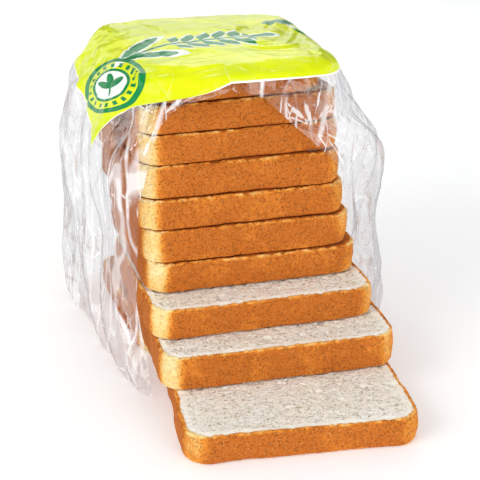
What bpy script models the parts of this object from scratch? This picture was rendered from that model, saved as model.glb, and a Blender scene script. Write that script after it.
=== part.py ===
"""Sliced sandwich loaf standing on end under an open bread bag.

Metres, +Z up, the open side of the bag faces -Y, the table is z = 0.
"""
import math

import bmesh
import bpy
from mathutils import Matrix

# ---- slices ----
SLICE_DEPTH = 0.108          # from the front crust to the rear crust
CORNER_RADIUS = 0.013        # upright corners of every slice
CORNER_STEPS = 6             # facets round one corner
EDGE_ROUND = 0.0009          # small round between crust and cut face
GAP = 0.0003                 # air between touching slices

FLOOR_THICKNESS = 0.0142     # the two slices that lie on the table

# name, centre x, centre y, turn in degrees, width
FLOOR_SLICES = (
    ("slice_01", 0.0010, -0.0860, -6.7, 0.112),
    ("slice_02", 0.0000, 0.0290, 0.0, 0.112),
)

# name, centre x, centre y, turn in degrees, width, thickness
STACKED_SLICES = (
    ("slice_03", 0.0025, -0.0400, -3.0, 0.1205, 0.0172),
    ("slice_04", -0.0008, -0.0195, -1.0, 0.1170, 0.0155),
    ("slice_05", 0.0000, 0.0000, -1.2, 0.112, 0.0151),
    ("slice_06", -0.0027, 0.0022, -1.2, 0.1095, 0.0165),
    ("slice_07", -0.0055, 0.0038, -0.3, 0.108, 0.0153),
    ("slice_08", -0.0067, 0.0058, -0.3, 0.1065, 0.0164),
    ("slice_09", -0.0070, 0.0080, 1.0, 0.1055, 0.0147),
    ("slice_10", -0.0085, 0.0090, 2.5, 0.1045, 0.0142),
)

# the end slice on top of the stack has a crust all over its upper side
END_NAME = "slice_11"
END_CENTRE = (-0.0110, 0.0080)
END_TURN = 3.0
END_WIDTH = 0.099
END_DEPTH = 0.101
END_CORNER_RADIUS = 0.022
END_THICKNESS = 0.0130
END_CROWN = 0.0075           # large round along the upper edge
END_CROWN_STEPS = 5

# ---- bag ----
FILM_WALL = 0.0010           # stand-in wall of the thin film
RING_STEPS = 56              # points round one level of the bag
SQUARENESS = 5.0             # 2 is an ellipse, higher is squarer
FRONT_PINCH = 0.16           # the bag narrows towards the open front
APEX = (-0.003, 0.008, 0.1620)

# height, left x, right x, front y, back y
BAG_LEVELS = (
    (0.0000, -0.0790, 0.0880, -0.0840, 0.0930),
    (0.0120, -0.0815, 0.0900, -0.0770, 0.0935),
    (0.0280, -0.0830, 0.0900, -0.0670, 0.0925),
    (0.0440, -0.0835, 0.0880, -0.0600, 0.0905),
    (0.0600, -0.0835, 0.0850, -0.0580, 0.0885),
    (0.0760, -0.0840, 0.0840, -0.0570, 0.0870),
    (0.0920, -0.0845, 0.0860, -0.0565, 0.0860),
    (0.1060, -0.0840, 0.0860, -0.0560, 0.0850),
    (0.1180, -0.0820, 0.0790, -0.0555, 0.0835),
    (0.1300, -0.0790, 0.0690, -0.0550, 0.0810),
    (0.1400, -0.0755, 0.0640, -0.0550, 0.0780),
    (0.1485, -0.0715, 0.0600, -0.0540, 0.0735),
    (0.1550, -0.0660, 0.0560, -0.0515, 0.0690),
    (0.1588, -0.0560, 0.0480, -0.0440, 0.0600),
    (0.1608, -0.0360, 0.0300, -0.0250, 0.0400),
)

# front arch, seen from the front as x, z
MOUTH_OUTLINE = (
    (-0.0640, -0.0100),
    (-0.0640, 0.0500),
    (-0.0620, 0.0930),
    (-0.0560, 0.1180),
    (-0.0500, 0.1320),
    (-0.0400, 0.1430),
    (-0.0250, 0.1475),
    (-0.0080, 0.1480),
    (0.0020, 0.1420),
    (0.0160, 0.1290),
    (0.0310, 0.1160),
    (0.0400, 0.1070),
    (0.0455, 0.0950),
    (0.0540, 0.0800),
    (0.0620, 0.0600),
    (0.0700, 0.0400),
    (0.0820, 0.0280),
    (0.1000, 0.0180),
    (0.1000, -0.0100),
)
MOUTH_FRONT = -0.140         # the arch cut starts in front of the bag
MOUTH_BACK = -0.030          # and reaches back to here


def clear_scene():
    for item in list(bpy.data.objects):
        bpy.data.objects.remove(item, do_unlink=True)


def new_collection(name):
    collection = bpy.data.collections.new(name)
    bpy.context.scene.collection.children.link(collection)
    return collection


def principled(name, colour, roughness, alpha=1.0):
    material = bpy.data.materials.new(name)
    material.use_nodes = True
    shader = material.node_tree.nodes["Principled BSDF"]
    shader.inputs["Base Color"].default_value = (*colour, 1.0)
    shader.inputs["Roughness"].default_value = roughness
    shader.inputs["Alpha"].default_value = alpha
    return material


def finish_object(name, mesh_data, material, collection):
    for face in mesh_data.faces:
        face.smooth = False
    bmesh.ops.recalc_face_normals(mesh_data, faces=mesh_data.faces)
    mesh = bpy.data.meshes.new(name)
    mesh_data.to_mesh(mesh)
    mesh_data.free()
    body = bpy.data.objects.new(name, mesh)
    body.data.materials.append(material)
    collection.objects.link(body)
    return body


def rounded_rectangle(width, depth, radius):
    points = []
    x = width / 2 - radius
    y = depth / 2 - radius
    for quarter, (cx, cy) in enumerate(((x, y), (-x, y), (-x, -y), (x, -y))):
        for step in range(CORNER_STEPS + 1):
            angle = math.radians(90 * (quarter + step / CORNER_STEPS))
            points.append((cx + radius * math.cos(angle), cy + radius * math.sin(angle)))
    return points


def add_rings(mesh_data, rings):
    """Joins rings of points that have the same count with a band of faces between each two."""
    made = [[mesh_data.verts.new(point) for point in ring] for ring in rings]
    for lower, upper in zip(made, made[1:]):
        for i in range(len(lower)):
            j = (i + 1) % len(lower)
            mesh_data.faces.new((lower[i], lower[j], upper[j], upper[i]))
    return made


def add_closed_rings(mesh_data, rings):
    made = add_rings(mesh_data, rings)
    mesh_data.faces.new(made[0])
    mesh_data.faces.new(made[-1])


def finish_slice(name, rings, x, y, turn, floor, collection):
    mesh_data = bmesh.new()
    add_closed_rings(mesh_data, rings)
    place = Matrix.Translation((x, y, floor)) @ Matrix.Rotation(math.radians(turn), 4, "Z")
    bmesh.ops.transform(mesh_data, matrix=place, verts=mesh_data.verts)
    material = principled(name + "_bread", (0.72, 0.40, 0.13), 0.85)
    body = finish_object(name, mesh_data, material, collection)
    rounding = body.modifiers.new("edge_round", "BEVEL")
    rounding.width = EDGE_ROUND
    rounding.segments = 2
    rounding.limit_method = "ANGLE"
    rounding.angle_limit = math.radians(60)


def make_slice(name, x, y, turn, width, thickness, floor, collection):
    outline = rounded_rectangle(width, SLICE_DEPTH, CORNER_RADIUS)
    rings = [[(u, v, level) for u, v in outline] for level in (0.0, thickness)]
    finish_slice(name, rings, x, y, turn, floor, collection)


def make_end_slice(floor, collection):
    """The last slice: its upper edge is a wide round."""
    levels = [(0.0, 0.0)]
    for step in range(END_CROWN_STEPS + 1):
        angle = math.radians(90 * step / END_CROWN_STEPS)
        inset = END_CROWN * (1 - math.cos(angle))
        levels.append((inset, END_THICKNESS - END_CROWN * (1 - math.sin(angle))))
    rings = []
    for inset, level in levels:
        width = END_WIDTH - 2 * inset
        depth = END_DEPTH - 2 * inset
        outline = rounded_rectangle(width, depth, END_CORNER_RADIUS - inset)
        rings.append([(u, v, level) for u, v in outline])
    finish_slice(END_NAME, rings, *END_CENTRE, END_TURN, floor, collection)


def make_slices(collection):
    for name, x, y, turn, width in FLOOR_SLICES:
        make_slice(name, x, y, turn, width, FLOOR_THICKNESS, 0.0, collection)
    floor = FLOOR_THICKNESS + GAP
    for name, x, y, turn, width, thickness in STACKED_SLICES:
        make_slice(name, x, y, turn, width, thickness, floor, collection)
        floor += thickness + GAP
    make_end_slice(floor, collection)


def squared(value):
    return math.copysign(abs(value) ** (2 / SQUARENESS), value)


def bag_ring(left, right, front, back):
    """Plan outline of the bag at one level, narrower at the front."""
    points = []
    centre_x = (left + right) / 2
    centre_y = (front + back) / 2
    for step in range(RING_STEPS):
        angle = 2 * math.pi * step / RING_STEPS
        across = squared(math.cos(angle))
        along = squared(math.sin(angle))
        forward = (1 - along) / 2
        half_width = (right - left) / 2 * (1 - FRONT_PINCH * forward)
        points.append((centre_x + half_width * across, centre_y + (back - front) / 2 * along))
    return points


def make_mouth_cutter(collection):
    mesh_data = bmesh.new()
    rings = [[(u, level, v) for u, v in MOUTH_OUTLINE] for level in (MOUTH_FRONT, MOUTH_BACK)]
    add_closed_rings(mesh_data, rings)
    material = principled("mouth_cut", (0.5, 0.5, 0.5), 0.5)
    cutter = finish_object("mouth_cutter", mesh_data, material, collection)
    cutter.hide_render = True
    cutter.display_type = "WIRE"
    return cutter


def make_bag(collection, cutters):
    mesh_data = bmesh.new()
    rings = []
    for height, left, right, front, back in BAG_LEVELS:
        rings.append([(x, y, height) for x, y in bag_ring(left, right, front, back)])
    made = add_rings(mesh_data, rings)
    apex = mesh_data.verts.new(APEX)
    for i in range(RING_STEPS):
        mesh_data.faces.new((made[-1][i], made[-1][(i + 1) % RING_STEPS], apex))
    material = principled("bag_film", (0.90, 0.93, 0.92), 0.15, 0.35)
    bag = finish_object("bag", mesh_data, material, collection)
    wall = bag.modifiers.new("film_wall", "SOLIDIFY")
    wall.thickness = FILM_WALL
    wall.offset = -1.0
    mouth = bag.modifiers.new("mouth", "BOOLEAN")
    mouth.operation = "DIFFERENCE"
    mouth.solver = "EXACT"
    mouth.object = make_mouth_cutter(cutters)
    return bag


def build():
    clear_scene()
    parts = new_collection("loaf_in_bread_bag")
    cutters = new_collection("cutters")
    make_slices(parts)
    make_bag(parts, cutters)


build()
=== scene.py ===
"""Looks of the sliced loaf in its open bread bag: baked slices, crinkled clear film and a printed band."""
import math

import bpy
import numpy as np
from mathutils import Matrix, Vector


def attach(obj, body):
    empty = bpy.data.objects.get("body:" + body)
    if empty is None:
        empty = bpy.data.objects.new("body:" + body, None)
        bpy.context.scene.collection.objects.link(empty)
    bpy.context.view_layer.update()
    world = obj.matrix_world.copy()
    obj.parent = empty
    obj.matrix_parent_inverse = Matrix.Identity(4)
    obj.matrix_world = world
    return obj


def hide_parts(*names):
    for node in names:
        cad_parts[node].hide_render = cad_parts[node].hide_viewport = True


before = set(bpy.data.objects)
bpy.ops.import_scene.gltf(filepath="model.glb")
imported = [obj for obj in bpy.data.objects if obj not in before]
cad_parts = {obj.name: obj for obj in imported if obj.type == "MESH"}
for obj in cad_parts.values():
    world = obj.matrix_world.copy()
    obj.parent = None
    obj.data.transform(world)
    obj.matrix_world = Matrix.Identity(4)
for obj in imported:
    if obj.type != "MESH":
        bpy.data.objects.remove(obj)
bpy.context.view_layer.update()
MM = 0.001

# ---------------------------------------------------------------- design numbers, in millimetres
SLICE_GAP = 0.3
CORNER_RADIUS = 13.0
SLICE_DEPTH = 108.0
FLOOR_THICKNESS = 14.2

# node, centre x, centre y, turn in degrees, width, depth, corner radius, thickness, crown,
# how much crumb shows
SLICES = (
    ("slice_01", 1.0, -86.0, -6.7, 112.0, SLICE_DEPTH, CORNER_RADIUS, FLOOR_THICKNESS, 0.0, 1),
    ("slice_02", 0.0, 29.0, 0.0, 112.0, SLICE_DEPTH, CORNER_RADIUS, FLOOR_THICKNESS, 0.0, 0),
    ("slice_03", 2.5, -40.0, -3.0, 120.5, SLICE_DEPTH, CORNER_RADIUS, 17.2, 0.0, 1),
    ("slice_04", -0.8, -19.5, -1.0, 117.0, SLICE_DEPTH, CORNER_RADIUS, 15.5, 0.0, 1),
    ("slice_05", 0.0, 0.0, -1.2, 112.0, SLICE_DEPTH, CORNER_RADIUS, 15.1, 0.0, 0),
    ("slice_06", -2.7, 2.2, -1.2, 109.5, SLICE_DEPTH, CORNER_RADIUS, 16.5, 0.0, 0),
    ("slice_07", -5.5, 3.8, -0.3, 108.0, SLICE_DEPTH, CORNER_RADIUS, 15.3, 0.0, 0),
    ("slice_08", -6.7, 5.8, -0.3, 106.5, SLICE_DEPTH, CORNER_RADIUS, 16.4, 0.0, 0),
    ("slice_09", -7.0, 8.0, 1.0, 105.5, SLICE_DEPTH, CORNER_RADIUS, 14.7, 0.0, 0),
    ("slice_10", -8.5, 9.0, 2.5, 104.5, SLICE_DEPTH, CORNER_RADIUS, 14.2, 0.0, 0),
    ("slice_11", -11.0, 8.0, 3.0, 99.0, 101.0, 22.0, 13.0, 7.5, 0),
)

# height, left x, right x, front y, back y of the bag; the last level is the closed middle of the top
BAG_LEVELS = (
    (0.3, -79.0, 88.0, -84.0, 93.0),
    (12.0, -81.5, 90.0, -77.0, 93.5),
    (28.0, -83.0, 90.0, -67.0, 92.5),
    (44.0, -83.5, 88.0, -60.0, 90.5),
    (60.0, -83.5, 85.0, -58.0, 88.5),
    (76.0, -84.0, 84.0, -57.0, 87.0),
    (92.0, -84.5, 86.0, -56.5, 86.0),
    (106.0, -84.0, 86.0, -56.0, 85.0),
    (118.0, -82.0, 79.0, -55.5, 83.5),
    (130.0, -79.0, 69.0, -55.0, 81.0),
    (140.0, -75.5, 64.0, -55.0, 78.0),
    (148.5, -71.5, 60.0, -54.0, 73.5),
    (155.0, -66.0, 56.0, -51.5, 69.0),
    (158.8, -56.0, 48.0, -44.0, 60.0),
    (160.8, -36.0, 30.0, -25.0, 40.0),
    (162.0, -3.4, -2.6, 7.6, 8.4),
)
SQUARENESS = 5.0
FRONT_PINCH = 0.16
MOUTH_MIDDLE = -15.0         # x of the top of the arch
ARCH_TOP = 147.5
# edge of the front arch: height and x on the left, height and x on the right, height and y on the right
ARCH_LEFT = ((0, -60), (10, -62), (26, -63), (44, -63.5), (60, -62), (93, -60), (104, -57.5), (122, -54),
             (134, -50), (142, -43), (145.5, -34), (147, -24), (ARCH_TOP, MOUTH_MIDDLE))
ARCH_RIGHT = ((0, 72), (20, 72), (40, 68), (60, 61), (80, 53), (95, 46), (108, 39), (116, 30), (130, 15),
              (142, 2), (146, -5), (ARCH_TOP, MOUTH_MIDDLE))
ARCH_RIGHT_DEPTH = ((0, -27), (15, -33), (28, -42), (40, -52), (60, -70))
FILM_ROWS = 210
FILM_COLUMNS = 380
SOFT_LIGHT = 0.60
FILM_CLEARANCE = 0.9         # least distance from film to bread

# lower edge of the printed band: turn around the bag from the front, in parts of a circle, and height
BAND_EDGE = ((0.0, 152.0), (0.03, 147.5), (0.05, 142.0), (0.07, 134.5), (0.09, 124.5), (0.102, 116.5),
             (0.112, 109.5), (0.13, 114.0), (0.16, 121.0), (0.20, 128.5), (0.255, 136.0), (0.33, 144.0),
             (0.45, 150.0), (0.70, 150.5), (0.84, 151.0), (0.90, 152.0), (1.0, 152.0))
# the plane that the seal is drawn in: its middle, and which ways its right and up point
SEAL_CENTRE = (-68.8, -22.9, 149.0)
SEAL_RIGHT = (0.80, -0.26, 0.0)
SEAL_UP = (0.141, 0.436, 1.095)
# bursts of painted crease highlights near the mouth: x, z of the middle, then turn in degrees,
# length and width of each ray
HIGHLIGHT_BURSTS = (
    (25.0, 128.5, ((137, 25, 1.5), (109, 15, 2.0), (76, 28, 0.8), (41, 21, 2.0),
                   (-56, 18, 1.2), (-31, 26, 0.8),
                   (155, 15, 0.9))),
    (-50.0, 139.0, ((38, 18, 1.3), (66, 11, 1.0), (-112, 24, 1.4), (-80, 16, 0.8), (160, 14, 1.0))),
    (44.0, 104.0, ((120, 20, 0.8), (-75, 30, 1.0), (-100, 22, 0.8), (60, 24, 1.3))),
)
ART_CENTRE = (-17.0, -5.0)
ART_TURN = 6.0               # degrees

SLICE_EDGE = 1.3             # round between crust and cut face
PRINT_ROWS, PRINT_COLUMNS = 150, 520
FLOOR_SIZE = 6.0             # metres


# ---------------------------------------------------------------- noise
def lattice(ix, iy, iz, seed):
    """A fixed pseudo-random value from -1 to 1 for each lattice point."""
    h = (ix * 374761393 + iy * 668265263 + iz * 1274126177 + seed * 974634541) & 0xFFFFFFFF
    h = ((h ^ (h >> 13)) * 1103515245) & 0xFFFFFFFF
    h = ((h ^ (h >> 16)) * 2246822519) & 0xFFFFFFFF
    return ((h ^ (h >> 13)) & 0xFFFFFF) / float(0x7FFFFF) - 1.0


def noise(p, seed):
    """Smooth value noise at the rows of p, one lattice cell per unit."""
    base = np.floor(p).astype(np.int64)
    f = p - base
    f = f * f * f * (f * (f * 6 - 15) + 10)
    total = np.zeros(len(p))
    for corner in range(8):
        dx, dy, dz = corner & 1, (corner >> 1) & 1, (corner >> 2) & 1
        wx = f[:, 0] if dx else 1 - f[:, 0]
        wy = f[:, 1] if dy else 1 - f[:, 1]
        wz = f[:, 2] if dz else 1 - f[:, 2]
        total += wx * wy * wz * lattice(base[:, 0] + dx, base[:, 1] + dy, base[:, 2] + dz, seed)
    return total


def layered(p, seed, octaves=3):
    total = np.zeros(len(p))
    for k in range(octaves):
        total += noise(p * 2.03 ** k, seed + 17 * k) / 2 ** k
    return total


def facets(u, v, seed):
    """Random heights on a triangular lattice with flat triangles between them."""
    skew = (u + v) * 0.366
    us, vs = u + skew, v + skew
    i, j = np.floor(us).astype(np.int64), np.floor(vs).astype(np.int64)
    fu, fv = us - i, vs - j
    first = fu > fv
    corner = lattice(i + first, j + ~first, 0 * i, seed)
    near, far = lattice(i, j, 0 * i, seed), lattice(i + 1, j + 1, 0 * i, seed)
    big, little = np.maximum(fu, fv), np.minimum(fu, fv)
    return near * (1 - big) + corner * (big - little) + far * little


def smooth(x, low, high):
    t = np.clip((x - low) / (high - low), 0, 1)
    return t * t * (3 - 2 * t)


# ---------------------------------------------------------------- mesh helpers
def new_piece(name, points, faces, material, attributes=()):
    mesh = bpy.data.meshes.new(name)
    mesh.from_pydata((np.asarray(points) * MM).tolist(), [], faces)
    for key, values in attributes:
        layer = mesh.attributes.new(key, "FLOAT", "POINT")
        layer.data.foreach_set("value", np.asarray(values, np.float32))
    mesh.shade_smooth()
    mesh.materials.append(material)
    mesh.validate()
    piece = bpy.data.objects.new(name, mesh)
    bpy.context.scene.collection.objects.link(piece)
    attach(piece, "root")
    return piece


def grid_faces(rows, columns, wrap):
    """Quads of a grid of points, row by row; wrap joins the last column to the first."""
    faces = []
    last = columns if wrap else columns - 1
    for r in range(rows - 1):
        for c in range(last):
            d = (c + 1) % columns
            faces.append((r * columns + c, r * columns + d, (r + 1) * columns + d, (r + 1) * columns + c))
    return faces


# ---------------------------------------------------------------- slices
def rounded_outline(width, depth, radius, count):
    """Points and outward directions round a rounded rectangle, even along its length."""
    x, y = width / 2 - radius, depth / 2 - radius
    points, normals = [], []
    for quarter, (cx, cy) in enumerate(((x, y), (-x, y), (-x, -y), (x, -y))):
        for step in range(25):
            a = math.radians(90 * (quarter + step / 24))
            n = (math.cos(a), math.sin(a))
            points.append((cx + radius * n[0], cy + radius * n[1]))
            normals.append(n)
    points.append(points[0])
    normals.append(normals[0])
    points, normals = np.array(points), np.array(normals)
    length = np.concatenate([[0], np.cumsum(np.linalg.norm(np.diff(points, axis=0), axis=1))])
    s = np.linspace(0, length[-1], count, endpoint=False)
    pts = np.stack([np.interp(s, length, points[:, k]) for k in (0, 1)], 1)
    nrm = np.stack([np.interp(s, length, normals[:, k]) for k in (0, 1)], 1)
    nrm /= np.linalg.norm(nrm, axis=1, keepdims=True)
    return pts, nrm


def box_distance(px, py, width, depth, radius):
    """Distance outside a rounded rectangle, negative inside, and its outward direction."""
    qx, qy = np.abs(px) - (width / 2 - radius), np.abs(py) - (depth / 2 - radius)
    ox, oy = np.maximum(qx, 0), np.maximum(qy, 0)
    outside = np.hypot(ox, oy)
    d = outside + np.minimum(np.maximum(qx, qy), 0) - radius
    along_x = qx > qy
    gx = np.where(outside > 1e-6, ox / np.maximum(outside, 1e-6), np.where(along_x, 1.0, 0.0)) * np.sign(px)
    gy = np.where(outside > 1e-6, oy / np.maximum(outside, 1e-6), np.where(along_x, 0.0, 1.0)) * np.sign(py)
    return d, gx, gy


def slice_floors():
    """Height of the underside of each slice."""
    floors = {"slice_01": 0.0, "slice_02": 0.0}
    level = FLOOR_THICKNESS + SLICE_GAP
    for row in SLICES[2:]:
        floors[row[0]] = level
        level += row[7] + SLICE_GAP
    return floors


FLOORS = slice_floors()


def make_slice(row, seed, material):
    name, cx, cy, turn, width, depth, radius, thick, crown, detail = row
    count = 460 if detail else 300
    outline, normal = rounded_outline(width, depth, radius, count)
    edge = SLICE_EDGE
    levels = []              # inset from the outline, height, part: 0 under, 1 side, 2 top
    reach = min(width, depth) / 2
    under_steps, top_steps = (12, 62) if detail else (12, 22)
    for k in range(1, under_steps):
        levels.append((reach - (reach - edge) * (k / under_steps) ** 0.7, 0.0, 0))
    for k in range(5):
        a = math.radians(90 * k / 4)
        levels.append((edge * (1 - math.sin(a)), edge * (1 - math.cos(a)), 1))
    upper = crown if crown else edge
    side = np.linspace(edge, thick - upper, 12)[1:-1]
    levels += [(0.0, float(h), 1) for h in side]
    turns = 12 if crown else 5
    for k in range(turns):
        a = math.radians(90 * k / (turns - 1))
        levels.append((upper * (1 - math.cos(a)), thick - upper * (1 - math.sin(a)), 1))
    for k in range(top_steps - 1, 0, -1):
        levels.append((reach - (reach - upper) * k / top_steps, thick, 2))
    points, inset_all, part_all, out = [], [], [], []
    for inset, height, part in levels:
        if part == 1 or inset < radius * 0.6:
            ring = outline - normal * inset
        else:
            near = outline - normal * radius * 0.6
            ring = near * (reach - inset) / (reach - radius * 0.6)
        points.append(np.column_stack([ring, np.full(count, height)]))
        inset_all.append(np.full(count, inset))
        part_all.append(np.full(count, part))
        out.append(normal)
    p = np.concatenate(points)
    inset_all, part_all, out = np.concatenate(inset_all), np.concatenate(part_all), np.concatenate(out)
    rows = len(levels)
    shift = np.array([seed * 37.0, seed * 11.0, seed * 23.0])
    # sides: slow swell, fine dents
    side_w = smooth(inset_all, 9.0, 0.0)
    swell = 0.75 * noise(p / 26.0 + shift, seed) + 0.4 * noise(p / 9.0 + shift, seed + 1)
    arc = np.tile(np.arange(count) * (2 * (width + depth) - 8 * radius + 2 * math.pi * radius) / count, rows)
    line = np.column_stack([arc / 9.0, p[:, 2] / 40.0, np.full(len(p), seed * 5.3)])
    groove = (smooth(np.abs(noise(line, seed + 12)), 0.07, 0.0)
              * smooth(noise(line / 3.0, seed + 13), -0.1, 0.3))
    swell -= 0.7 * groove
    dents = 0.22 * noise(p / 2.6 + shift, seed + 2) + 0.12 * noise(p / 1.3 + shift, seed + 3)
    belly = 0.5 * np.sin(np.pi * np.clip(p[:, 2] / thick, 0, 1)) - 0.5
    push = np.minimum(swell + dents, 0.9) - 0.5 + belly * (0 if crown else 1)
    p[:, 0] += out[:, 0] * push * side_w
    p[:, 1] += out[:, 1] * push * side_w
    # cut faces: pores and soft unevenness, always inwards
    face = np.where(part_all == 1, 0.0, 1.0) * smooth(inset_all, 1.2, 3.0)
    pores = smooth(layered(p / 1.9 + shift, seed + 4, 2), 0.25, 0.95) * 0.8
    pores += smooth(noise(p / 4.2 + shift, seed + 5), 0.45, 0.9) * 0.8
    uneven = 0.25 + 0.25 * noise(p / 14.0 + shift, seed + 6) + 0.12 * noise(p / 2.2 + shift, seed + 7)
    depth_in = (pores * (0.25 + 0.75 * smooth(inset_all, 3.0, 7.0)) + uneven) * face * (0 if crown else 1)
    inner = smooth(inset_all, 3.5, 8.0)
    rim = np.exp(-((inset_all - 2.0) / 1.6) ** 2) * 0.35 * (0.6 + 0.4 * noise(p / 3.0 + shift, seed + 8))
    depth_in += rim * np.where(part_all == 1, 0.0, 1.0) * (0 if crown else 1)
    bitten = (0.75 * smooth(noise(p / 1.5 + shift, seed + 15), -0.1, 0.7)
              + 0.3 * smooth(noise(p / 3.4 + shift, seed + 16), 0, 0.8))
    near_edge = smooth(p[:, 2], thick - 1.4, thick - 0.4) * smooth(inset_all, 5.0, 2.0)
    p[:, 2] -= bitten * near_edge * (0 if crown else 1)
    p[:, 2] += np.where(part_all == 2, -depth_in, np.where(part_all == 0, depth_in, 0.0))
    # how browned: deep on the flat sides, pale on the upright corners; the corners that face left are paler
    # still, a painted highlight from the light on the left
    corner = np.minimum(np.abs(out[:, 0]), np.abs(out[:, 1])) * math.sqrt(2)
    pale_corners_and_left_highlight = np.where(out[:, 0] < 0, 0.85, 0.40) * (0.5 if name == "slice_01" else 1.0)
    browning_and_painted_light = 1.0 - pale_corners_and_left_highlight * smooth(corner, 0.05, 0.85)
    browning_and_painted_light += 0.16 * noise(p / 12.0 + shift, seed + 9)
    # paler along both cut edges, and paler still along the top edge
    from_cut = p[:, 2] if crown else np.minimum(p[:, 2], thick - p[:, 2])
    ragged = 0.65 + 0.5 * noise(p / 2.4 + shift, seed + 14)
    browning_and_painted_light -= 0.20 * smooth(from_cut, 1.7, 0.3) * ragged
    if not crown:
        browning_and_painted_light -= 0.42 * smooth(thick - p[:, 2], 1.5, 0.4) * ragged
    crust = smooth(inset_all, 2.6, 0.9)
    crust = np.where(part_all == 1, 1.0, crust) if not crown else np.where(part_all == 0, crust, 1.0)
    # faces hidden between the slices get the darkest crust colour: painted shade in the gaps between slices
    shaded_gap_faces = (part_all == 0) | (detail == 0) & (part_all == 2)
    crust = np.where(shaded_gap_faces & (inset_all < 7), 1.0, crust)
    browning_and_painted_light = np.where(shaded_gap_faces, 1.35, browning_and_painted_light)
    centre_low = np.array([[0, 0, p[:count, 2].mean()]])
    centre_high = np.array([[0, 0, p[-count:, 2].mean()]])
    faces = grid_faces(rows, count, True)
    low, high = len(p), len(p) + 1
    first = (rows - 1) * count
    faces += [(low, (c + 1) % count, c) for c in range(count)]
    faces += [(high, first + c, first + (c + 1) % count) for c in range(count)]
    p = np.concatenate([p, centre_low, centre_high])
    browning_and_painted_light = np.concatenate([browning_and_painted_light, [1, 1]])
    crust = np.concatenate([crust, [0, 1 if crown else 0]])
    inner = np.concatenate([inner, [1, 1]])
    a = math.radians(turn)
    x = p[:, 0] * math.cos(a) - p[:, 1] * math.sin(a) + cx
    y = p[:, 0] * math.sin(a) + p[:, 1] * math.cos(a) + cy
    points = np.column_stack([x, y, p[:, 2] + FLOORS[name]])
    piece = new_piece("bread_" + name[-2:], points, faces, material,
                      (("browning_and_painted_light", browning_and_painted_light), ("crust", crust), ("inner", inner)))
    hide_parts(name)
    return piece


# ---------------------------------------------------------------- bag surface
def bag_levels():
    """Even steps up the bag and over its top: height, left, right, front, back."""
    rows = np.array(BAG_LEVELS, float)
    span = np.hypot(np.diff(rows[:, 2] - rows[:, 1]) / 2, np.diff(rows[:, 0]))
    along = np.concatenate([[0], np.cumsum(span)])
    fine = np.linspace(0, along[-1], 900)
    table = np.stack([np.interp(fine, along, rows[:, k]) for k in range(5)], 1)
    for _ in range(60):
        table[1:-1] = 0.25 * table[:-2] + 0.5 * table[1:-1] + 0.25 * table[2:]
    pick = np.linspace(0, 899, FILM_ROWS)
    return np.stack([np.interp(pick, np.arange(900), table[:, k]) for k in range(5)], 1)


def bag_outline(level, count=1600):
    """One level of the bag, from the front middle leftwards round to the front middle."""
    height, left, right, front, back = level
    angle = np.linspace(-math.pi / 2, -math.pi * 2.5, count)
    power = 2 / SQUARENESS
    across = np.sign(np.cos(angle)) * np.abs(np.cos(angle)) ** power
    along = np.sign(np.sin(angle)) * np.abs(np.sin(angle)) ** power
    forward = (1 - along) / 2
    half = (right - left) / 2 * (1 - FRONT_PINCH * forward)
    x = (left + right) / 2 + half * across
    y = (front + back) / 2 + (back - front) / 2 * along
    return x, y


def bag_grid():
    """Smooth surface of the bag without folds, as an array of rows x columns x 3."""
    levels = bag_levels()
    surface = np.zeros((FILM_ROWS, FILM_COLUMNS, 3))
    ends = np.zeros((FILM_ROWS, 2))
    lines = []
    for r, level in enumerate(levels):
        x, y = bag_outline(level)
        s = np.concatenate([[0], np.cumsum(np.hypot(np.diff(x), np.diff(y)))])
        z = level[0]
        closed = z >= ARCH_TOP or r > FILM_ROWS * 0.75
        half = len(x) // 2
        if closed:
            seam = s[np.argmax(x[:half] <= min(MOUTH_MIDDLE, x[0]))] if z < 158 else 0.0
            begin, end = seam, s[-1] + seam
        else:
            xl = np.interp(z, *zip(*ARCH_LEFT))
            xr = np.interp(z, *zip(*ARCH_RIGHT))
            yr = np.interp(z, *zip(*ARCH_RIGHT_DEPTH)) if z < 60 else -90.0
            begin = s[np.argmax(x[:half] <= xl)]
            right_side = (x[half:] >= xr) & (y[half:] >= yr)
            last = half + np.max(np.nonzero(right_side)[0])
            end = s[last]
            if xr < x[0]:
                near = np.argmax(x[:half] <= xr)
                end = s[-1] + s[near]
        ends[r] = begin / s[-1], end / s[-1]
        lines.append((x, y, s))
    for _ in range(4):
        ends[1:-1] = 0.25 * ends[:-2] + 0.5 * ends[1:-1] + 0.25 * ends[2:]
    for r, (x, y, s) in enumerate(lines):
        want = np.linspace(ends[r, 0], ends[r, 1], FILM_COLUMNS) * s[-1]
        want = np.mod(want, s[-1] * (1 + 1e-9))
        surface[r, :, 0] = np.interp(want, s, x)
        surface[r, :, 1] = np.interp(want, s, y)
        surface[r, :, 2] = levels[r, 0]
    return surface


def grid_normals(surface):
    du = np.gradient(surface, axis=1)
    dv = np.gradient(surface, axis=0)
    n = np.cross(dv, du)
    n /= np.maximum(np.linalg.norm(n, axis=2, keepdims=True), 1e-9)
    middle = np.array([0.0, 10.0, 70.0])
    inwards = ((surface - middle) * n).sum(2, keepdims=True) < 0
    return np.where(inwards, -n, n)


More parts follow.
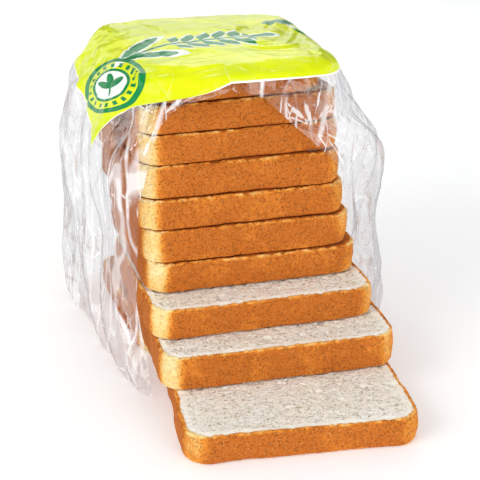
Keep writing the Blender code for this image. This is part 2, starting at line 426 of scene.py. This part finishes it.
def folded(surface, normals):
    """Adds folds and crinkles; returns the points and how creased each is."""
    p = surface.reshape(-1, 3)
    n = normals.reshape(-1, 3)
    step = np.linalg.norm(np.diff(surface, axis=1), axis=2)
    arc = np.concatenate([np.zeros((FILM_ROWS, 1)), np.cumsum(step, axis=1)], axis=1)
    from_end = np.minimum(arc, arc[:, -1:] - arc)
    s = (arc - arc[:, -1:] / 2).ravel()
    rise = np.linalg.norm(np.diff(surface[:, FILM_COLUMNS // 2], axis=0), axis=1)
    m = np.repeat(np.concatenate([[0], np.cumsum(rise)]), FILM_COLUMNS)
    z = p[:, 2]
    side = smooth(z, 160, 122)
    warp_s = 3.5 * noise(p / 45, 3) + 0.6 * noise(p / 13, 6)
    warp_m = 6.0 * noise(p / 45, 4)
    s, m = s + warp_s, m + warp_m
    patch = smooth(noise(p / 26, 8), 0.05, 0.55)
    patch_fine = smooth(noise(p / 17, 9), 0.15, 0.6)
    push = 2.6 * noise(p / 46, 11) * side
    push += 3.4 * facets(s / 15, m / 110, 21) * (0.15 + 0.85 * side)
    push += 2.3 * facets((0.85 * s + 0.53 * m) / 30, (0.85 * m - 0.53 * s) / 66, 22) * (0.25 + 0.75 * side)
    push += 1.9 * facets((0.80 * s - 0.60 * m) / 34, (0.80 * m + 0.60 * s) / 58, 23) * (0.25 + 0.75 * side)
    push += 0.8 * facets(s / 9, m / 24, 24) * (0.20 + 0.80 * patch)
    push += 0.5 * facets((s + m) / 7, (m - s) / 11, 25) * (0.10 + 0.90 * patch_fine)
    push *= 1 - 0.5 * smooth(z, 8.0, 0.0)
    closed = smooth(z, ARCH_TOP - 4, ARCH_TOP)
    seam = smooth(from_end.ravel(), 0, 14)
    push *= 1 - closed * (1 - seam)
    height = push.reshape(FILM_ROWS, FILM_COLUMNS)
    bend = np.zeros_like(height)
    bend[1:-1, 1:-1] = np.abs(4 * height[1:-1, 1:-1] - height[:-2, 1:-1] - height[2:, 1:-1]
                              - height[1:-1, :-2] - height[1:-1, 2:])
    crease = np.clip(bend.ravel() / np.percentile(bend, 98.5), 0, 1)
    moved = p + n * push[:, None]
    slump = smooth(moved[:, 0], -52, -68) * smooth(moved[:, 1], -10, 60) * smooth(z, 128, 152)
    moved[:, 2] -= 4.0 * slump
    moved[:, 0] += 2.0 * slump - 3.0 * smooth(moved[:, 0], 25, 60) * smooth(z, 136, 152)
    moved[:, 2] = np.clip(moved[:, 2], 0.25, 165.0)
    return moved, crease


def clear_of_bread(p):
    """Pushes points out of the slices, sideways only. Film over the top slice is left to over_top."""
    for name, cx, cy, turn, width, depth, radius, thick, crown, _ in SLICES:
        a = math.radians(turn)
        low, high = FLOORS[name] - 0.6, FLOORS[name] + thick + 0.6
        near = (p[:, 2] > low) & (p[:, 2] < high)
        if not near.any():
            continue
        x, y = p[near, 0] - cx, p[near, 1] - cy
        lx, ly = x * math.cos(a) + y * math.sin(a), -x * math.sin(a) + y * math.cos(a)
        d, gx, gy = box_distance(lx, ly, width, depth, radius)
        push = np.maximum(FILM_CLEARANCE - d, 0)
        if crown:
            push = np.where(p[near, 2] > high - crown, 0, push)
        lx, ly = lx + gx * push, ly + gy * push
        p[near, 0] = lx * math.cos(a) - ly * math.sin(a) + cx
        p[near, 1] = lx * math.sin(a) + ly * math.cos(a) + cy
    return p


def over_top(p, rest):
    """Keeps the top of the bag above the end slice."""
    top = FLOORS["slice_11"] + SLICES[-1][7] + 1.2
    cap = rest[:, 2] > 150
    inside = (np.abs(p[:, 0] + 11) < 46) & (np.abs(p[:, 1] - 8) < 47) & cap
    p[inside, 2] = np.maximum(p[inside, 2], top)
    return p


def make_film(material):
    surface = bag_grid()
    normals = grid_normals(surface)
    p, crease = folded(surface, normals)
    p = over_top(clear_of_bread(p), surface.reshape(-1, 3))
    faces = grid_faces(FILM_ROWS, FILM_COLUMNS, False)
    piece = new_piece("bag_film", p, faces, material, (("crease", crease),))
    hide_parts("bag")
    return p.reshape(FILM_ROWS, FILM_COLUMNS, 3), surface


def sample_grid(grid, r, c):
    """Value of a grid at fractional rows and columns."""
    r = np.clip(r, 0, grid.shape[0] - 1.001)
    c = np.clip(c, 0, grid.shape[1] - 1.001)
    i, j = r.astype(int), c.astype(int)
    fr, fc = r - i, c - j
    if grid.ndim == 3:
        fr, fc = fr[..., None], fc[..., None]
    low = grid[i, j] * (1 - fc) + grid[i, j + 1] * fc
    high = grid[i + 1, j] * (1 - fc) + grid[i + 1, j + 1] * fc
    return low * (1 - fr) + high * fr


def make_print(film, rest, material):
    """The printed band: the top of the film again, a hair outside it, down to the band's edge."""
    rows, columns = PRINT_ROWS, PRINT_COLUMNS
    around = np.linspace(0, 1, columns)
    edge = np.interp(around, *zip(*BAND_EDGE))
    start_row = np.zeros(columns)
    column = around * (FILM_COLUMNS - 1)
    for k in range(columns):
        heights = rest[:, int(round(column[k])), 2]
        start_row[k] = np.interp(edge[k], heights, np.arange(FILM_ROWS))
    t = np.linspace(0, 1, rows)[:, None]
    r = start_row[None, :] + (FILM_ROWS - 1 - start_row[None, :]) * t
    c = np.broadcast_to(column[None, :], r.shape)
    p = sample_grid(film, r, c)
    n = grid_normals(p)
    p = p + n * 0.25
    flat = sample_grid(rest, r, c)
    along = np.linalg.norm(np.diff(flat, axis=0), axis=2)
    from_edge = np.concatenate([np.zeros((1, columns)), np.cumsum(along, axis=0)])
    faces = grid_faces(rows, columns, False)
    flat = flat.reshape(-1, 3)
    seal = flat - np.array(SEAL_CENTRE)
    turn = math.radians(ART_TURN)
    x, y = flat[:, 0] - ART_CENTRE[0], flat[:, 1] - ART_CENTRE[1]
    attributes = (
        ("from_edge", from_edge.ravel()),
        ("seal_u", seal @ np.array(SEAL_RIGHT)),
        ("seal_v", seal @ np.array(SEAL_UP)),
        ("art_u", x * math.cos(turn) + y * math.sin(turn)),
        ("art_v", y * math.cos(turn) - x * math.sin(turn)),
    )
    piece = new_piece("bag_print", p.reshape(-1, 3), faces, material, attributes)
    return piece


# ---------------------------------------------------------------- node helpers
class Nodes:
    """A short way to write a material's node tree."""

    def __init__(self, name):
        self.material = bpy.data.materials.new(name)
        self.material.use_nodes = True
        self.tree = self.material.node_tree
        self.tree.nodes.clear()
        self.output = self.tree.nodes.new("ShaderNodeOutputMaterial")

    def node(self, kind, settings=None, **inputs):
        made = self.tree.nodes.new("ShaderNode" + kind)
        for key, value in (settings or {}).items():
            setattr(made, key, value)
        for key, value in inputs.items():
            self.put(made.inputs[key.replace("_", " ")], value)
        return made

    def put(self, socket, value):
        if isinstance(value, bpy.types.NodeSocket):
            self.tree.links.new(value, socket)
        elif value is not None:
            socket.default_value = value

    def math(self, operation, a, b=None, c=None, clamp=False):
        made = self.tree.nodes.new("ShaderNodeMath")
        made.operation = operation
        made.use_clamp = clamp
        for k, value in enumerate((a, b, c)):
            if value is not None:
                self.put(made.inputs[k], value)
        return made.outputs[0]

    def ramp(self, value, low, high, out_low=0.0, out_high=1.0, kind="SMOOTHSTEP"):
        made = self.tree.nodes.new("ShaderNodeMapRange")
        made.interpolation_type = kind
        for k, v in enumerate((value, low, high, out_low, out_high)):
            self.put(made.inputs[k], v)
        return made.outputs[0]

    def mix(self, factor, a, b, blend="MIX"):
        made = self.tree.nodes.new("ShaderNodeMix")
        made.data_type = "RGBA"
        made.blend_type = blend
        self.put(made.inputs[0], factor)
        self.put(made.inputs[6], a)
        self.put(made.inputs[7], b)
        return made.outputs[2]

    def attribute(self, name):
        made = self.tree.nodes.new("ShaderNodeAttribute")
        made.attribute_name = name
        return made.outputs["Fac"]

    def noise(self, vector, scale, detail=4.0, roughness=0.55):
        made = self.node("TexNoise", Scale=scale, Detail=detail, Roughness=roughness)
        self.put(made.inputs["Vector"], vector)
        return made.outputs["Fac"]

    def cells(self, vector, scale, feature="F1", randomness=1.0):
        made = self.node("TexVoronoi", {"feature": feature}, Scale=scale, Randomness=randomness)
        self.put(made.inputs["Vector"], vector)
        return made.outputs["Distance"]


def rgb(r, g, b):
    return (r, g, b, 1.0)


def bread_material():
    m = Nodes("baked_bread")
    where = m.node("TexCoord").outputs["Object"]
    browning_and_painted_light, crust, inner = m.attribute("browning_and_painted_light"), m.attribute("crust"), m.attribute("inner")
    broad = m.noise(where, 70, 3)
    middle = m.noise(where, 420, 4, 0.65)
    fine = m.noise(where, 1500, 3, 0.7)
    grain = m.cells(where, 900)
    # crust
    level = m.math("ADD", browning_and_painted_light, m.math("MULTIPLY", m.math("SUBTRACT", broad, 0.5), 0.50))
    level = m.math("ADD", level, m.math("MULTIPLY", m.math("SUBTRACT", middle, 0.5), 0.50))
    ramp = m.node("ValToRGB", Fac=level)
    stops = ramp.color_ramp.elements
    stops[0].position, stops[0].color = 0.0, rgb(1.0, 0.80, 0.40)
    stops[1].position, stops[1].color = 1.15 / 1.2, rgb(0.55, 0.145, 0.014)
    for position, colour in ((0.3, rgb(0.98, 0.62, 0.20)), (0.62, rgb(0.82, 0.30, 0.036)),
                             (0.8, rgb(0.69, 0.205, 0.020))):
        stop = stops.new(position)
        stop.color = colour
    pit = m.math("MULTIPLY", m.ramp(m.cells(where, 950), 0.50, 0.16),
                 m.ramp(m.noise(where, 700, 2), 0.38, 0.58))
    crust_colour = m.mix(m.math("MULTIPLY", m.math("MULTIPLY", pit, m.ramp(browning_and_painted_light, 0.2, 0.7)), 0.55),
                         ramp.outputs[0],
                         rgb(0.36, 0.088, 0.008))
    speck = m.math("MULTIPLY", m.ramp(fine, 0.56, 0.68), 0.40)
    crust_colour = m.mix(speck, crust_colour, rgb(0.95, 0.55, 0.20))
    # crumb
    stretched = m.node("Mapping", Vector=where)
    stretched.inputs["Scale"].default_value = (0.7, 1.0, 1.0)
    web = m.node("TexVoronoi", {"feature": "DISTANCE_TO_EDGE"}, Vector=stretched.outputs[0], Scale=500.0)
    small_web = m.node("TexVoronoi", {"feature": "DISTANCE_TO_EDGE"},
                       Vector=stretched.outputs[0], Scale=850.0)
    open_crumb = m.ramp(m.noise(where, 230, 3, 0.6), 0.36, 0.60)
    pore = m.math("MULTIPLY", m.ramp(web.outputs["Distance"], 0.10, 0.42), open_crumb)
    small_pore = m.math("MULTIPLY", m.ramp(small_web.outputs["Distance"], 0.04, 0.40),
                        m.ramp(middle, 0.34, 0.58))
    holes = m.math("MAXIMUM", pore, m.math("MULTIPLY", small_pore, 0.7))
    holes = m.math("MULTIPLY", holes, m.ramp(inner, 0.0, 0.8, 0.15, 1.0))
    crumb_base = m.mix(m.ramp(broad, 0.3, 0.7), rgb(1.0, 0.955, 0.83), rgb(1.0, 0.985, 0.91))
    # the pores are painted darker than the crumb walls: painted shade in the hollows
    crumb = m.mix(m.math("MULTIPLY", holes, 0.88), crumb_base, rgb(0.56, 0.43, 0.28))
    # border between the two, a little ragged
    border = m.math("ADD", crust, m.math("MULTIPLY", m.math("SUBTRACT", middle, 0.5), 0.9))
    mask = m.ramp(border, 0.28, 0.72)
    colour = m.mix(mask, crumb, crust_colour)
    warm = m.math("MULTIPLY", m.ramp(crust, 0.0, 0.5), m.ramp(mask, 1.0, 0.0))
    colour = m.mix(m.math("MULTIPLY", warm, 0.5), colour, rgb(0.90, 0.62, 0.32))
    height = m.math("MULTIPLY", grain, 0.45)
    height = m.math("ADD", height, m.math("MULTIPLY", fine, 0.5))
    height = m.math("ADD", height, m.math("MULTIPLY", middle, 0.8))
    height = m.math("SUBTRACT", height, m.math("MULTIPLY", m.mix(mask, holes, pit), 1.1))
    bump = m.node("Bump", Strength=0.8, Distance=0.0007, Height=height)
    shader = m.node("BsdfPrincipled", Base_Color=colour, Roughness=0.82, Normal=bump.outputs[0])
    shader.inputs["Specular IOR Level"].default_value = 0.22
    m.put(m.output.inputs["Surface"], shader.outputs[0])
    return m.material


def crinkles(m, where, scale, stretch, seed):
    """Distance to the creases of a crinkled sheet, as cells drawn out upwards."""
    bent = m.node("VectorMath", {"operation": "MULTIPLY_ADD"})
    sway = m.node("TexNoise", Vector=where, Scale=28.0 + seed, Detail=1.0)
    m.put(bent.inputs[0], sway.outputs["Color"])
    bent.inputs[1].default_value = (0.007, 0.007, 0.007)
    m.put(bent.inputs[2], where)
    drawn = m.node("Mapping", Vector=bent.outputs[0])
    drawn.inputs["Location"].default_value = (0.13 * seed, 0.07 * seed, 0.0)
    drawn.inputs["Scale"].default_value = (1.0, 1.0, stretch)
    web = m.node("TexVoronoi", {"feature": "DISTANCE_TO_EDGE"}, Vector=drawn.outputs[0], Scale=scale)
    return web.outputs["Distance"]


def drawn_out(m, where, stretch):
    """Coordinates that make a texture longer upwards."""
    drawn = m.node("Mapping", Vector=where)
    drawn.inputs["Scale"].default_value = (1.0, 1.0, stretch)
    return drawn.outputs[0]


def film_material():
    m = Nodes("clear_film")
    where = m.node("TexCoord").outputs["Object"]
    crease = m.attribute("crease")
    long_cells = crinkles(m, where, 38.0, 0.24, 7)
    small_cells = crinkles(m, where, 115.0, 0.34, 2)
    drapes = crinkles(m, where, 58.0, 0.09, 9)
    patch = m.ramp(m.noise(where, 34, 2), 0.46, 0.60)
    patch_small = m.ramp(m.noise(where, 52, 2), 0.50, 0.64)
    height = m.math("ADD", m.math("MULTIPLY", long_cells, 1.0), m.math("MULTIPLY", small_cells, 0.16))
    height = m.math("ADD", height, m.math("MULTIPLY", drapes, 0.6))
    bump = m.node("Bump", Strength=0.45, Distance=0.008, Height=height)
    facing = m.node("LayerWeight", Blend=0.5).outputs["Facing"]
    grazing = m.math("POWER", facing, 3.0)
    # white lines along the creases: painted highlights, later mixed in as a white diffuse colour
    long_highlight = m.math("MULTIPLY", m.ramp(long_cells, 0.030, 0.006),
                       m.math("ADD", m.math("MULTIPLY", patch, 0.8), 0.1))
    small_highlight = m.math("MULTIPLY", m.ramp(small_cells, 0.045, 0.010), patch_small)
    place = m.node("SeparateXYZ", Vector=where)
    # the drape highlights are painted stronger on the left, the side that faces the key light
    on_left = m.math("LESS_THAN", place.outputs["X"], -0.060)
    share = m.math("ADD", m.math("MULTIPLY", patch_small, 0.7), m.math("MULTIPLY", on_left, 0.50))
    drape_highlight = m.math("MULTIPLY", m.ramp(drapes, 0.056, 0.010), m.math("ADD", share, 0.10, clamp=True))
    lines = m.math("MAXIMUM", long_highlight, m.math("MULTIPLY", small_highlight, 0.8))
    lines = m.math("MAXIMUM", lines, drape_highlight)
    in_front = m.math("LESS_THAN", place.outputs["Y"], -0.030)
    torn = m.math("MULTIPLY", m.math("SUBTRACT", m.noise(drawn_out(m, where, 0.35), 420, 2), 0.42), 3.2)
    # rays of painted highlight bursting from given points on the front of the film
    for x, z, rays in HIGHLIGHT_BURSTS:
        u = m.math("SUBTRACT", place.outputs["X"], x * MM)
        v = m.math("SUBTRACT", place.outputs["Z"], z * MM)
        for turn, length, width in rays:
            cos, sin = math.cos(math.radians(turn)), math.sin(math.radians(turn))
            along = m.math("ADD", m.math("MULTIPLY", u, cos), m.math("MULTIPLY", v, sin))
            along = m.math("DIVIDE", along, length * MM)
            across = m.math("ABSOLUTE", m.math("SUBTRACT", m.math("MULTIPLY", v, cos),
                     m.math("MULTIPLY", u, sin)))
            across = m.math("ADD", m.math("DIVIDE", across, 0.8 * width * MM), torn)
            # widest near the middle of its length, with frayed sides
            body = m.math("MULTIPLY", along, m.math("SUBTRACT", 1.0, along))
            inside = m.math("SUBTRACT", m.math("MULTIPLY", body, 4.6), across)
            ray = m.math("MULTIPLY", m.ramp(inside, 0.0, 0.7), m.math("GREATER_THAN", along, 0.0))
            lines = m.math("MAXIMUM", lines, m.math("MULTIPLY", m.math("MULTIPLY", ray, in_front), 0.9))
    # creases of the folded mesh get painted highlights too
    lines = m.math("MAXIMUM", lines, m.math("MULTIPLY", m.ramp(crease, 0.35, 1.0), 0.6))
    clear = m.node("BsdfTransparent", Color=m.mix(grazing, rgb(0.93, 0.932, 0.94), rgb(0.66, 0.66, 0.68)))
    haze = m.node("BsdfPrincipled", Base_Color=rgb(0.60, 0.60, 0.62), Roughness=0.35, Normal=bump.outputs[0])
    thin = m.node("MixShader")
    m.put(thin.inputs[0], m.math("ADD", m.math("MULTIPLY", grazing, 0.10), 0.02))
    m.put(thin.inputs[1], clear.outputs[0])
    m.put(thin.inputs[2], haze.outputs[0])
    # white diffuse colour that the painted highlights are drawn in
    white = m.node("BsdfPrincipled", Base_Color=rgb(0.93, 0.93, 0.94), Roughness=0.3)
    highlighted_film = m.node("MixShader")
    m.put(highlighted_film.inputs[0], m.math("MULTIPLY", lines, 0.70))
    m.put(highlighted_film.inputs[1], thin.outputs[0])
    m.put(highlighted_film.inputs[2], white.outputs[0])
    shine = m.node("BsdfGlossy", Color=rgb(1, 1, 1), Roughness=0.06, Normal=bump.outputs[0])
    fresnel = m.node("Fresnel", IOR=1.5, Normal=bump.outputs[0]).outputs[0]
    gloss = m.math("MULTIPLY", fresnel, 0.9, clamp=True)
    out = m.node("MixShader")
    m.put(out.inputs[0], m.math("MINIMUM", gloss, 0.20))
    m.put(out.inputs[1], highlighted_film.outputs[0])
    m.put(out.inputs[2], shine.outputs[0])
    m.put(m.output.inputs["Surface"], out.outputs[0])
    return m.material


def ellipse(m, u, v, centre, half, turn):
    """A value that is 1 on the edge of an ellipse and less inside it."""
    a = math.radians(turn)
    x, y = m.math("SUBTRACT", u, centre[0]), m.math("SUBTRACT", v, centre[1])
    along = m.math("ADD", m.math("MULTIPLY", x, math.cos(a)), m.math("MULTIPLY", y, math.sin(a)))
    across = m.math("SUBTRACT", m.math("MULTIPLY", y, math.cos(a)), m.math("MULTIPLY", x, math.sin(a)))
    along = m.math("POWER", m.math("ABSOLUTE", m.math("DIVIDE", along, half[0])), 1.6)
    across = m.math("POWER", m.math("ABSOLUTE", m.math("DIVIDE", across, half[1])), 2.0)
    return m.math("ADD", along, across)


def lowest(m, values):
    total = values[0]
    for value in values[1:]:
        total = m.math("MINIMUM", total, value)
    return total


def print_material():
    m = Nodes("printed_band")
    where = m.node("TexCoord").outputs["Object"]
    from_edge = m.attribute("from_edge")
    green, white = rgb(0.004, 0.24, 0.062), rgb(0.90, 0.93, 0.88)
    soft = m.noise(where, 45, 3)
    colour = m.mix(m.ramp(soft, 0.3, 0.7), rgb(0.66, 0.78, 0.003), rgb(0.82, 0.90, 0.004))
    # an ear of grain with its stalk and two leaves
    u, v = m.attribute("art_u"), m.attribute("art_v")
    pitch = 8.4
    cell = m.math("SUBTRACT", m.math("MODULO", m.math("ADD", u, 100 * pitch), pitch), pitch / 2)
    mirror = m.math("ABSOLUTE", v)
    grain = ellipse(m, cell, mirror, (0.0, 7.2), (7.6, 3.0), 48)
    outside = m.math("GREATER_THAN", m.math("ABSOLUTE", m.math("SUBTRACT", u, 6.3)), 2.5 * pitch)
    grain = m.math("ADD", grain, m.math("MULTIPLY", outside, 50))
    shapes = [grain, ellipse(m, u, v, (33.5, 0.0), (7.5, 3.4), 0),
              ellipse(m, u, v, (-6.0, 0.0), (34.0, 1.3), 0),
              ellipse(m, u, mirror, (-29.0, 8.5), (13.5, 4.2), 32)]
    ear = lowest(m, shapes)
    colour = m.mix(m.math("LESS_THAN", ear, 1.75), colour, white)
    colour = m.mix(m.math("LESS_THAN", ear, 1.0), colour, green)
    # leaves at the far right corner
    corner_leaf = lowest(m, [ellipse(m, u, v, (58.0, 30.0), (13.0, 5.0), 20),
                             ellipse(m, u, v, (66.0, 8.0), (11.0, 3.2), -60)])
    petal = ellipse(m, u, v, (66.0, 22.0), (6.0, 4.0), -30)
    colour = m.mix(m.math("LESS_THAN", petal, 1.0), colour, white)
    colour = m.mix(m.math("LESS_THAN", corner_leaf, 1.0), colour, green)
    # round seal: two rings, ticks between them, and leaves on a white middle
    su, sv = m.attribute("seal_u"), m.attribute("seal_v")
    radius = m.math("SQRT", m.math("ADD", m.math("MULTIPLY", su, su), m.math("MULTIPLY", sv, sv)))
    ring = m.math("LESS_THAN", m.math("ABSOLUTE", m.math("SUBTRACT", radius, 15.2)), 1.3)
    inner_ring = m.math("LESS_THAN", m.math("ABSOLUTE", m.math("SUBTRACT", radius, 9.0)), 0.75)
    turn = m.math("MULTIPLY", m.math("ARCTAN2", sv, su), 18 / (2 * math.pi))
    tick = m.math("LESS_THAN", m.math("FRACT", m.math("ADD", turn, 18)), 0.45)
    tick = m.math("MULTIPLY", tick,
                  m.math("LESS_THAN", m.math("ABSOLUTE", m.math("SUBTRACT", radius, 11.9)), 1.2))
    middle = m.math("LESS_THAN", radius, 8.4)
    leaves = lowest(m, [ellipse(m, su, sv, (3.1, 1.0), (4.0, 1.9), 38),
                        ellipse(m, su, sv, (-3.1, 1.0), (4.0, 1.9), -38),
                        ellipse(m, su, sv, (0.0, 3.2), (3.8, 1.8), 90),
                        ellipse(m, su, sv, (0.0, -3.6), (3.4, 0.55), 90)])
    colour = m.mix(middle, colour, white)
    marks = m.math("MAXIMUM", m.math("MAXIMUM", ring, inner_ring),
                   m.math("MAXIMUM", tick, m.math("MULTIPLY", m.math("LESS_THAN", leaves, 1.0), middle)))
    colour = m.mix(marks, colour, green)
    colour = m.mix(m.math("LESS_THAN", from_edge, 0.9), colour, rgb(0.93, 0.95, 0.90))
    folds = crinkles(m, where, 42.0, 0.9, 4)
    fine_folds = crinkles(m, where, 110.0, 0.9, 5)
    height = m.math("ADD", folds, m.math("MULTIPLY", fine_folds, 0.30))
    bump = m.node("Bump", Strength=0.38, Distance=0.006, Height=height)
    # pale streaks along the folds of the band: painted highlights
    fold_highlight = m.math("MULTIPLY", m.ramp(folds, 0.022, 0.004), m.ramp(m.noise(where, 40, 2), 0.50, 0.66))
    colour = m.mix(m.math("MULTIPLY", fold_highlight, 0.18), colour, rgb(0.97, 0.99, 0.80))
    shader = m.node("BsdfPrincipled", Base_Color=colour, Roughness=0.22, Normal=bump.outputs[0])
    shader.inputs["Specular IOR Level"].default_value = 0.20
    m.put(m.output.inputs["Surface"], shader.outputs[0])
    return m.material


def floor_material():
    m = Nodes("studio_floor")
    where = m.node("TexCoord").outputs["Object"]
    tone = m.ramp(m.noise(where, 3, 2), 0.0, 1.0, 0.965, 0.975, "LINEAR")
    shader = m.node("BsdfPrincipled", Base_Color=m.mix(tone, rgb(0.895, 0.905, 0.91), rgb(0.92, 0.93, 0.935)),
                    Roughness=0.9)
    shader.inputs["Emission Color"].default_value = (1, 1, 1, 1)
    shader.inputs["Emission Strength"].default_value = 0.175
    m.put(m.output.inputs["Surface"], shader.outputs[0])
    return m.material


# ---------------------------------------------------------------- studio
def make_floor():
    size = FLOOR_SIZE
    mesh = bpy.data.meshes.new("floor")
    corners = [(-size, -size, -0.0002), (size, -size, -0.0002), (size, size, -0.0002), (-size, size, -0.0002)]
    mesh.from_pydata(corners, [], [(0, 1, 2, 3)])
    mesh.materials.append(floor_material())
    floor = bpy.data.objects.new("floor", mesh)
    bpy.context.scene.collection.objects.link(floor)


def area_light(name, location, target, size, power, tint=(1, 1, 1)):
    data = bpy.data.lights.new(name, "AREA")
    data.shape = "RECTANGLE"
    data.size, data.size_y = size
    data.energy = power
    data.color = tint
    lamp = bpy.data.objects.new(name, data)
    lamp.location = location
    lamp.rotation_mode = "QUATERNION"
    lamp.rotation_quaternion = (Vector(target) - Vector(location)).to_track_quat("-Z", "Y")
    bpy.context.scene.collection.objects.link(lamp)


def make_world():
    """White to the camera; to gloss, a studio of bright and dark panels; to the rest, even soft light."""
    world = bpy.data.worlds.new("studio")
    world.use_nodes = True
    tree = world.node_tree
    tree.nodes.clear()

    def add(kind):
        return tree.nodes.new("ShaderNode" + kind)

    output, coordinates, wave = add("OutputWorld"), add("TexCoord"), add("TexWave")
    panels, path = add("MapRange"), add("LightPath")
    wave.inputs["Scale"].default_value = 0.55
    wave.inputs["Distortion"].default_value = 3.0
    wave.inputs["Detail"].default_value = 1.0
    tree.links.new(coordinates.outputs["Generated"], wave.inputs["Vector"])
    panels.inputs["From Min"].default_value, panels.inputs["From Max"].default_value = 0.48, 0.60
    panels.inputs["To Min"].default_value, panels.inputs["To Max"].default_value = 0.10, 1.25
    tree.links.new(wave.outputs["Fac"], panels.inputs["Value"])
    soft, gloss, seen = add("Background"), add("Background"), add("Background")
    first, second = add("MixShader"), add("MixShader")
    soft.inputs[1].default_value = SOFT_LIGHT
    seen.inputs[1].default_value = 1.0
    for lamp in (soft, gloss, seen):
        lamp.inputs[0].default_value = (1, 1, 1, 1)
    tree.links.new(panels.outputs[0], gloss.inputs[1])
    tree.links.new(path.outputs["Is Glossy Ray"], first.inputs[0])
    tree.links.new(soft.outputs[0], first.inputs[1])
    tree.links.new(gloss.outputs[0], first.inputs[2])
    tree.links.new(path.outputs["Is Camera Ray"], second.inputs[0])
    tree.links.new(first.outputs[0], second.inputs[1])
    tree.links.new(seen.outputs[0], second.inputs[2])
    tree.links.new(second.outputs[0], output.inputs["Surface"])
    bpy.context.scene.world = world


def make_lights():
    make_world()
    middle = (0.0, 0.0, 0.07)
    area_light("key", (-1.05, -0.45, 0.70), middle, (0.7, 0.7), 6.8)
    area_light("fill", (0.40, -1.3, 0.28), middle, (0.8, 0.8), 7.7)
    area_light("back", (0.2, 0.9, 0.8), middle, (0.9, 0.4), 2.8)


def make_camera():
    azimuth, elevation, roll = math.radians(-18.0), math.radians(22.7), math.radians(0.7)
    distance, target = 0.659, Vector((0.0066, 0.0, 0.0492))
    back = Vector((math.sin(azimuth) * math.cos(elevation), -math.cos(azimuth) * math.cos(elevation),
                   math.sin(elevation)))
    data = bpy.data.cameras.new("camera")
    data.sensor_width = 36.0
    data.lens = 91.05
    data.clip_start, data.clip_end = 0.01, 30.0
    camera = bpy.data.objects.new("camera", data)
    camera.rotation_mode = "QUATERNION"
    level = (-back).to_track_quat("-Z", "Y")
    camera.rotation_quaternion = level @ Matrix.Rotation(roll, 3, "Z").to_quaternion()
    camera.location = target + back * distance
    bpy.context.scene.collection.objects.link(camera)
    bpy.context.scene.camera = camera


def main():
    bread = bread_material()
    for k, row in enumerate(SLICES):
        make_slice(row, k + 1, bread)
    film, rest = make_film(film_material())
    make_print(film, rest, print_material())
    make_floor()
    make_lights()
    make_camera()
    bpy.context.scene.view_settings.view_transform = "Standard"
    bpy.context.scene.cycles.transparent_max_bounces = 24


main()
